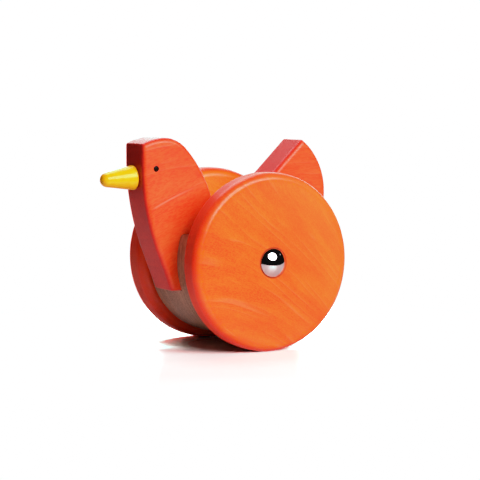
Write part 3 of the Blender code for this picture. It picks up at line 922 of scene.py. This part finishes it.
print("beak root at", [round(c / MM, 2) for c in beak_place], "mm")
print("left eye at", [round(c / MM, 2) for c in eye_place(1)], "mm")

# %% [markdown]
# ## Saw the hen
#
# The sawn board is rounded over on both sides and drilled before it is stained: a bore for the brass
# sleeve, two for the dowels, a mortise for the beak and a small blind hole for each eye.

# %% Saw and drill the board
RIGHT_THROUGH = ("axle_sleeve", "front_dowel", "rear_dowel")
BALLAST = ("front_ballast", "rear_ballast")
holes = [hole_for(node, 2 * BOARD_SIDE) for node in RIGHT_THROUGH]
mortise = (-TENON_LENGTH - FIT, TENON_LENGTH, TENON_RADIUS, HOLE_SIDES)
holes.append(cutter(*mortise, beak_place, beak_turn))
for _, side, facing in SIDES:
    eye_hole = (-EYE_PEG - FIT, EYE_PEG, EYE_RADIUS, EYE_HOLE_SIDES)
    holes.append(cutter(*eye_hole, eye_place(side), facing))
shape = board(outline, -BOARD_SIDE, BOARD_SIDE, BOARD_ROUND, BOARD_ROUND, CORNER_SOFT)
new_piece("hen_profile", shape, red, "hen", ["hen_board"], holes=holes)

# %% [markdown]
# ## The drum
#
# Two natural wood cheeks are glued on either side of the board, and a keel fills the space under it,
# so the three together make a round belly. They were sanded flush after gluing, so only hairline
# joints show. The joints are left a hair open here, with the rims just broken.

# %% Saw the cheeks and the keel
DRUM_RADIUS, DRUM_FLAT, DRUM_CORNER = 40.5 * MM, 14.0 * MM, 2.0 * MM
CHEEK_ROUND, GLUE_LINE, JOINT_EASE = 1.0 * MM, 0.06 * MM, 0.12 * MM


def drum_outline():
    corner_z = DRUM_FLAT - DRUM_CORNER
    corner_y = math.sqrt((DRUM_RADIUS - DRUM_CORNER) ** 2 - corner_z**2)
    lean = math.degrees(math.atan2(corner_z, corner_y))
    rear = arc((corner_y, corner_z), DRUM_CORNER, lean, 90, 8)
    front = arc((-corner_y, corner_z), DRUM_CORNER, 90, 180 - lean, 8)
    belly = arc((0, 0), DRUM_RADIUS, 180 - lean, 360 + lean)
    return rear + front + belly[1:-1]


def keel_outline():
    reach = math.degrees(math.asin((-BOTTOM_Z * MM + GLUE_LINE) / DRUM_RADIUS))
    return arc((0, 0), DRUM_RADIUS, 180 + reach, 360 - reach)


def drum_piece(name, shape, node, holes):
    new_piece(name, shape, natural, "hen", [node], holes=holes)


for side_name, side, _ in SIDES:
    low_x, high_x = sorted((side * (BOARD_SIDE + GLUE_LINE), side * CHEEK_OUT))
    eases = (JOINT_EASE, CHEEK_ROUND) if side > 0 else (CHEEK_ROUND, JOINT_EASE)
    shape = board(drum_outline(), low_x, high_x, *eases, steps=5)
    holes = [hole_for(node, 2 * CHEEK_OUT) for node in RIGHT_THROUGH]
    holes += [hole_for(node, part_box(node)[1].x + FIT) for node in BALLAST]
    drum_piece(side_name + "_drum_half", shape, side_name + "_cheek", holes)
shape = board(keel_outline(), -BOARD_SIDE, BOARD_SIDE, JOINT_EASE, JOINT_EASE, steps=2)
drum_piece("drum_keel", shape, "belly_keel", [hole_for(node, 2 * BOARD_SIDE) for node in BALLAST])

# %% [markdown]
# ## The beak
#
# The beak is a turned cone with a round tip and a tenon that goes into the head. Blender's own cone
# has a sharp point and a sharp base. This section has a small arc at the base and a larger one at
# the tip, and the straight taper between them runs into both without a kink.

# %% Turn the beak
BEAK_SIDES = 72
taper = math.atan2(BEAK_BASE, tip_x) - math.asin(BEAK_TIP / math.hypot(BEAK_BASE, tip_x))
square_to_taper = 90 - math.degrees(taper)
beak_profile = [(-TENON_LENGTH, 0), (-TENON_LENGTH, TENON_RADIUS), (0, TENON_RADIUS)]
beak_profile += arc((BEAK_EASE, BEAK_BASE - BEAK_EASE), BEAK_EASE, 180, square_to_taper, 15)
beak_profile += arc((tip_x, 0), BEAK_TIP, square_to_taper, 0, 5)
beak = lathe(beak_profile, BEAK_SIDES)
new_piece("turned_beak", beak, yellow, "hen", ["beak"], beak_place, beak_turn)

# %% [markdown]
# ## The eyes
#
# Each eye is a little black peg, pressed into its hole until it stands just proud. A flat disc would
# do from a distance, but the low dome is what catches a speck of light.

# %% Press in the eyes
EYE_PROUD, EYE_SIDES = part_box("left_eye")[1].x - BOARD_SIDE, 48
dome = ball_radius(EYE_RADIUS, EYE_PROUD)
eye_rim = math.degrees(math.asin(EYE_RADIUS / dome))
eye_profile = [(-EYE_PEG, 0), (-EYE_PEG, EYE_RADIUS), (0, EYE_RADIUS)]
eye_profile += arc((EYE_PROUD - dome, 0), dome, eye_rim, 0, 3)[1:]
for side_name, side, facing in SIDES:
    peg, node, place = lathe(eye_profile, EYE_SIDES), side_name + "_eye", eye_place(side)
    new_piece(side_name + "_eye_peg", peg, black, "hen", [node], place, facing)

# %% [markdown]
# ## The solids that stay
#
# Axle, sleeve, washers, toothed retainers, dowels and ballast are hidden inside the toy or just seen
# between its pieces. Their solids already have the right shape, so building them again would add
# nothing. They are shown as they are and only get a finish.

# %% Give the remaining solids their finishes
HARDWARE = ("axle", "left_washer", "right_washer", "left_retainer", "right_retainer")
DOWELS = ("front_dowel", "rear_dowel")
KEPT = {steel: HARDWARE, brass: ("axle_sleeve",), dowel: DOWELS, ballast_steel: BALLAST}
for finish, nodes in KEPT.items():
    for node in nodes:
        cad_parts[node].data.materials.clear()
        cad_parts[node].data.materials.append(finish.material)
    print(finish.material.name + ":", ", ".join(nodes))

# %% [markdown]
# ## The studio
#
# The polished cap is a map of the studio: a dark room, one big round softbox high on the right, and
# a white table that ends not far in front of the toy. That explains the rest of the picture too. The
# sides facing right are bright, the breast is dark, and its lower part glows from the table.
#
# Every part of the studio is a plain sheet or shell. Each is seen only by the rays that need it, so
# that what lights the toy and what the camera sees can be chosen one by one.

# %% Directions and stage pieces
RAYS = ("camera", "diffuse", "glossy", "transmission", "shadow")


def away(azimuth, elevation=0.0):
    """The direction from the toy to a place at these angles. Azimuth 0 is ahead of the beak."""
    a, e = math.radians(azimuth), math.radians(elevation)
    return Vector((math.sin(a) * math.cos(e), -math.cos(a) * math.cos(e), math.sin(e)))


def rightwards(azimuth):
    """The level direction to the right of someone who looks at the toy from an azimuth."""
    return at_angle(azimuth).to_3d()


def sheet(corners):
    mesh = bmesh.new()
    mesh.faces.new([mesh.verts.new(corner) for corner in corners])
    return mesh


def stage_piece(name, mesh, seen_by, **look):
    """A piece of the studio in a paint of its own, seen only by the given kinds of ray."""
    made = mesh_object(name, mesh)
    paint = Finish(name, **look)
    made.data.materials.append(paint.material)
    for ray in RAYS:
        setattr(made, "visible_" + ray, ray in seen_by)
    return paint


print("the studio is measured from a point under the axle, at y", round(AXLE.y / MM, 2), "mm")

# %% [markdown]
# ## Table and paper
#
# The table that lights the toy is modest, but the printed page is pure white. So there are two
# floors: a real table that only light can see, and a sheet of brighter paper that only the camera
# sees. The table lies a fifth of a millimetre lower, so that the two never mix.

# %% Lay the table and the paper
TABLE_FACES, TABLE_COLOUR, SHEET_ROUGH, PAPER_REACH = 105, (0.64, 0.58, 0.59), 0.38, 4.0
table_middle = Vector((0, AXLE.y, -0.2 * MM))
forwards, sidewards = away(TABLE_FACES), rightwards(TABLE_FACES)
corners = []
for ahead, aside in ((0.18, 0.55), (0.18, -0.30), (-0.5, -0.30), (-0.5, 0.55)):
    corners.append(table_middle + forwards * ahead + sidewards * aside)
paint = {"Base_Color": TABLE_COLOUR, "Roughness": SHEET_ROUGH, "Specular_IOR_Level": 0.4}
stage_piece("studio_table", sheet(corners), ("diffuse", "glossy"), **paint)
corners = [(PAPER_REACH * x, PAPER_REACH * y, 0) for x, y in ((-1, -1), (1, -1), (1, 1), (-1, 1))]
paint = {"Roughness": SHEET_ROUGH, "Specular_IOR_Level": 0.0}
paper = stage_piece("paper", sheet(corners), ("camera",), **paint)
print("paper and table are laid")

# %% [markdown]
# ## Paper that turns to white
#
# The paper is lit like any paper under the toy, where the shadow is. Further out it turns to plain
# white glow, as in a picture that was brightened until its background vanished. The brightening is a
# gain on the paper's colour, one for red and one for the other two parts, and it is painted shadow as
# well: it deepens the shadow's core, warms it as the shadow of an orange toy is warm, and sets where
# it ends. It climbs steeply beside and behind the toy. Ahead of the left wheel it stays low over a
# strip of paper, where the faint end of the shadow still shows.

# %% Measure the paper
BARE_WHITE = (2.0, 1.02, 1.02)
STRIP_AT = 59.15
place = paper.place()
offset = paper.vectors("SUBTRACT", place, (0, AXLE.y, 0))
far = paper.vectors("LENGTH", offset, out="Value")
core = paper.vectors("SUBTRACT", place, (0, AXLE.y - 5 * MM, 0))
core = paper.vectors("LENGTH", core, out="Value")
ahead = paper.vectors("DOT_PRODUCT", offset, away(STRIP_AT), out="Value")
aside = paper.vectors("DOT_PRODUCT", offset, rightwards(STRIP_AT), out="Value")
beside = 1 - paper.step(ahead, 6 * MM, 26 * MM)
off_strip = paper.step(paper.maths("ABSOLUTE", aside + 3 * MM), 31 * MM, 45 * MM)
print("the paper knows how far it is from the shadow's core and from the strip")

# %% [markdown]
# ## Brightening the paper
#
# Each gain starts from its value in the core of the shadow, and every way out of it adds a smooth
# climb. A last smooth step hands over from lit paper to plain glow.

# %% Brighten the paper away from the toy
RED_IN_CORE, RED_BESIDE, RED_OFF_STRIP = 0.95, 4.4, 4.0
OTHER_IN_CORE, OTHER_OUTSIDE, OTHER_BESIDE, OTHER_OFF_STRIP = 0.68, 0.32, 4.25, 1.5
OTHER_LOST_AHEAD = 0.16
# Painted shadow: the gains are lowest in the shadow's core, warmer in red, and climb outwards.
red_gain = RED_IN_CORE + paper.step(core, 20 * MM, 36 * MM) * beside * RED_BESIDE
red_gain = red_gain + off_strip * RED_OFF_STRIP + paper.step(core, 24 * MM, 48 * MM)
outside = paper.step(core, 19.5 * MM, 31 * MM)
other_gain = OTHER_IN_CORE + outside * (OTHER_OUTSIDE + beside * OTHER_BESIDE)
other_gain = other_gain + off_strip * OTHER_OFF_STRIP
other_gain = other_gain - paper.step(ahead, 50 * MM, 110 * MM) * OTHER_LOST_AHEAD
gain = paper.node("ShaderNodeCombineXYZ", {}, {0: red_gain, 1: other_gain, 2: other_gain})
glow = paper.step(far, 80 * MM, 180 * MM)
paper.set(Base_Color=paper.blend(glow, gain, (0, 0, 0)))
paper.set(Emission_Color=paper.blend(glow, (0, 0, 0), BARE_WHITE), Emission_Strength=1.0)
print("the paper is plain white from 180 mm outwards")

# %% [markdown]
# ## The room and the mirror card
#
# Behind the toy the page is as white as in front, so a big shell round everything glows for the
# camera alone. The tops of head and tail mirror something bright behind the toy, though. A white card
# stands there, and only reflections can see it.

# %% Put up the room and the card
ROOM_RADIUS = 5.0
shell = bmesh.new()
bmesh.ops.create_icosphere(shell, subdivisions=4, radius=ROOM_RADIUS)
paint = {"Base_Color": (0, 0, 0), "Emission_Color": BARE_WHITE, "Emission_Strength": 1.0}
stage_piece("room", shell, ("camera",), **paint)

CARD_AT, CARD_AWAY, CARD_WIDE, CARD_HIGH = 237, 0.75, 0.72, 0.7
CARD_COLOUR, CARD_GLOW = (0.8, 0.8, 0.8), 3.1
foot = Vector((0, AXLE.y, 0)) + away(CARD_AT) * CARD_AWAY
half = rightwards(CARD_AT) * CARD_WIDE / 2
top = Vector((0, 0, CARD_HIGH))
card = sheet([foot - half, foot + half, foot + half + top, foot - half + top])
paint = {"Base_Color": CARD_COLOUR, "Roughness": SHEET_ROUGH, "Specular_IOR_Level": 0.0}
paint |= {"Emission_Color": CARD_COLOUR, "Emission_Strength": CARD_GLOW}
stage_piece("backdrop_card", card, ("glossy",), **paint)
print("room and card are up")

# %% [markdown]
# ## Lights
#
# The key is the big round softbox that shows in the cap. A square one overhead draws the long
# highlights along the upper roundings. A fill from the camera's side softens the shadows without
# showing in the cap. A small light that lies on the table and faces up stands for the table's bounce
# on the breast and the drum, and a little window adds a second, smaller speck. Blender wants a power
# in watts, but what an eye judges is how bright a lamp's face is, so the power follows from that.
# A world of very dark grey gives a trace of light to what no lamp reaches.


# %% Hang the lights
def softbox(name, angles, distance, size, brightness, shape="ELLIPSE"):
    """A soft light that looks at the toy from azimuth and elevation angles in degrees."""
    light = bpy.data.lights.new(name, "AREA")
    light.shape = shape
    light.size, light.size_y = size
    area = size[0] * size[1] * (math.pi / 4 if shape == "ELLIPSE" else 1)
    light.energy = math.pi * area * brightness
    made = add_object(name, light)
    made.location = AXLE + away(*angles) * distance
    made.rotation_mode = "QUATERNION"
    made.rotation_quaternion = away(*angles).to_track_quat("Z", "Y")
    print(f"{name}: {light.energy:.2f} W")
    return made


softbox("key", (103, 27), 0.9, (0.75, 0.60), 10.4)
softbox("overhead", (270, 62), 0.7, (0.45, 0.45), 4.6, "RECTANGLE")
fill = softbox("fill", (74, 34), 0.9, (0.5, 0.5), 2.6)
bounce = softbox("bounce_from_table", (58, 0), 0.115, (0.12, 0.07), 1.3)
softbox("window", (158, 22.6), 0.9, (0.07, 0.07), 1.2)
bounce.location.z = 1 * MM
bounce.rotation_quaternion = Vector((0, 0, -1)).to_track_quat("Z", "Y")
fill.visible_glossy = bounce.visible_glossy = bounce.visible_camera = False

world = bpy.data.worlds.new("dark_studio")
bpy.context.scene.world = world
world.use_nodes = True
background = world.node_tree.nodes["Background"]
background.inputs["Color"].default_value = (0.006, 0.006, 0.006, 1)
print("lights:", len(bpy.data.lights))

# %% [markdown]
# ## Film that is kind to bright colours
#
# A camera compresses the brightest tones, so a strongly lit red stays a little below full red and
# keeps its hue. The curve here does the same: straight up to the middle tones, then a soft shoulder.

# %% The tone curve
BRIGHTEST = 2.0
MIDDLE_TONES = [(0.10, 0.10), (0.30, 0.32), (0.60, 0.62)]
SHOULDER = [(0.80, 0.745), (1.0, 0.80), (1.25, 0.855), (1.6, 0.90)]
view = bpy.context.scene.view_settings
view.view_transform = "Standard"
view.use_curve_mapping = True
film = view.curve_mapping
film.white_level = (BRIGHTEST, BRIGHTEST, BRIGHTEST)
red_layer, green_layer, blue_layer, _ = film.curves
for x, y in MIDDLE_TONES + SHOULDER:
    red_layer.points.new(x / BRIGHTEST, y)
for layer in (green_layer, blue_layer):
    layer.points.new(1 / BRIGHTEST, 1.0)
    for point in layer.points:
        point.handle_type = "VECTOR"
film.update()
print("tone curve:", len(red_layer.points), "points for red")

# %% [markdown]
# ## The camera
#
# The camera stands where the photograph was taken from, worked out from the outlines of the two
# wheels: almost level, about thirty degrees to the front of the axle's end, with a long lens. It
# looks along the line to the axle's middle, and then moves a little to the right and up without
# turning, so that the toy sits in the frame as it does in the photograph.

# %% Set up the camera
CAMERA_AZIMUTH, CAMERA_ELEVATION, CAMERA_DISTANCE = 59.15, 5.20, 0.88789
CAMERA_RIGHT, CAMERA_UP = 1.84 * MM, 8.57 * MM
back, right = away(CAMERA_AZIMUTH, CAMERA_ELEVATION), rightwards(CAMERA_AZIMUTH)
up = back.cross(right)
lens = bpy.data.cameras.new("camera")
lens.sensor_width = 36
lens.lens = 128.71
camera = add_object("camera", lens)
stand = Matrix((right, up, back)).transposed().to_4x4()
stand.translation = AXLE + back * CAMERA_DISTANCE + right * CAMERA_RIGHT + up * CAMERA_UP
camera.matrix_world = stand
bpy.context.scene.camera = camera
print("camera at", [round(c, 3) for c in stand.translation], "m")
